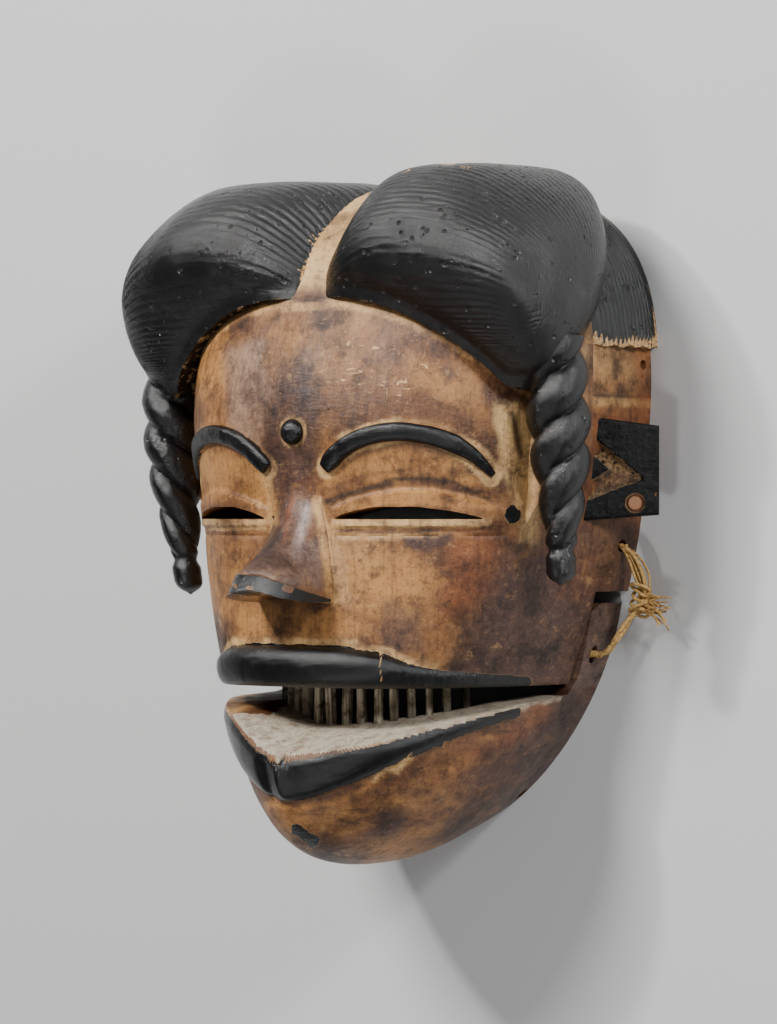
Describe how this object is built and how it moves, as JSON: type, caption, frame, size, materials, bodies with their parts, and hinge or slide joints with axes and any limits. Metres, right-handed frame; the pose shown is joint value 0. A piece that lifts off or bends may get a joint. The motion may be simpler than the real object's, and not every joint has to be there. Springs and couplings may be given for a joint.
{
  "type": "ogoni elu mask",
  "caption": "Small carved wooden face mask with a lobed coiffure, twisted side braids, slit eyes and a hinged lower jaw set with cane teeth, lying face up on its rim.",
  "frame": {"origin": "middle of the mask's outline, at the height of the rim it lies on", "axes": "+X towards the mask's own left, +Y towards its crown, +Z out of the face"},
  "size_m": [0.192, 0.2383, 0.1194],
  "materials": {
    "carved_wood": "carved hardwood, worn brown patina with black pigment on coiffure, brows and lips",
    "jaw_wood": "carved hardwood, worn brown patina with black pigment on the lip and chalky white on its shelf",
    "cane": "dry split cane, grey with age",
    "raffia": "twisted raffia fibre",
    "peg_wood": "bare wood plug"
  },
  "bodies": {
    "mask": {"upper_mask": "carved_wood", "jaw_tie_left": "raffia", "jaw_tie_right": "raffia", "ear_peg_left": "peg_wood"},
    "jaw": {"lower_jaw": "jaw_wood", "tooth_01": "cane", "tooth_02": "cane", "tooth_03": "cane", "tooth_04": "cane", "tooth_05": "cane", "tooth_06": "cane", "tooth_07": "cane", "tooth_08": "cane", "tooth_09": "cane", "tooth_10": "cane", "tooth_11": "cane", "tooth_12": "cane", "tooth_13": "cane", "tooth_14": "cane", "tooth_15": "cane", "tooth_16": "cane", "tooth_17": "cane"}
  },
  "joints": [
    {"name": "jaw_hinge", "type": "hinge", "parent": "mask", "child": "jaw", "pos_m": [0, -0.0485, 0.011], "axis": [1, 0, 0], "range_deg": [-5, 0]}
  ]
}
